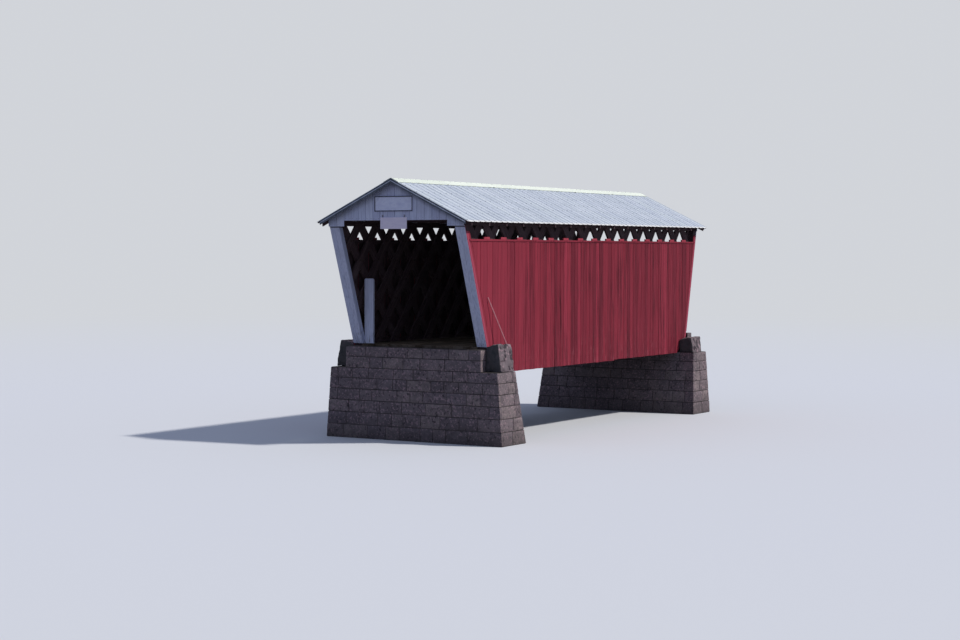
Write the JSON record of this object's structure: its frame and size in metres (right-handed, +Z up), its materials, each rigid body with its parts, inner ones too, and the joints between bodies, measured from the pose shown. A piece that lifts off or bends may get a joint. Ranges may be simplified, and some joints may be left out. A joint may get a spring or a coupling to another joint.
{
  "type": "covered bridge",
  "caption": "Single-span timber covered bridge with lattice trusses, red boarded sides, white raked portals, a metal gable roof and masonry abutments.",
  "frame": {"origin": "middle of the plan at the foot of the abutments", "axes": "+Y along the bridge away from the portal with the two boards, +X to the right of someone driving in through it, +Z up"},
  "size_m": [6.5392, 16.94, 8.1666],
  "materials": {
    "masonry": "rough",
    "timber": "weathered",
    "deck_wood": "worn",
    "red_paint": "weathered paint",
    "white_paint": "matte paint",
    "roof_sheet": "weathered galvanised"
  },
  "bodies": {
    "root": {"near_abutment": "masonry", "far_abutment": "masonry", "near_right_cheek": "masonry", "near_left_cheek": "masonry", "far_right_cheek": "masonry", "far_left_cheek": "masonry", "near_bed_timber": "timber", "far_bed_timber": "timber", "right_lower_chord": "timber", "left_lower_chord": "timber", "right_upper_chord": "timber", "left_upper_chord": "timber", "right_lattice_outer": "timber", "right_lattice_inner": "timber", "left_lattice_outer": "timber", "left_lattice_inner": "timber", "near_right_post": "timber", "near_left_post": "timber", "far_right_post": "timber", "far_left_post": "timber", "floor_beams": "timber", "deck": "deck_wood", "tie_beams": "timber", "right_rafters": "timber", "left_rafters": "timber", "right_laths": "timber", "left_laths": "timber", "right_roof": "roof_sheet", "left_roof": "roof_sheet", "ridge_cap": "roof_sheet", "right_siding": "red_paint", "left_siding": "red_paint", "right_nailers": "red_paint", "left_nailers": "red_paint", "right_top_rail": "red_paint", "left_top_rail": "red_paint", "near_gable": "white_paint", "far_gable": "white_paint", "near_right_jamb": "white_paint", "near_left_jamb": "white_paint", "far_right_jamb": "white_paint", "far_left_jamb": "white_paint", "upper_board": "white_paint", "hanging_board": "white_paint", "guard_plank": "white_paint"}
  },
  "joints": []
}
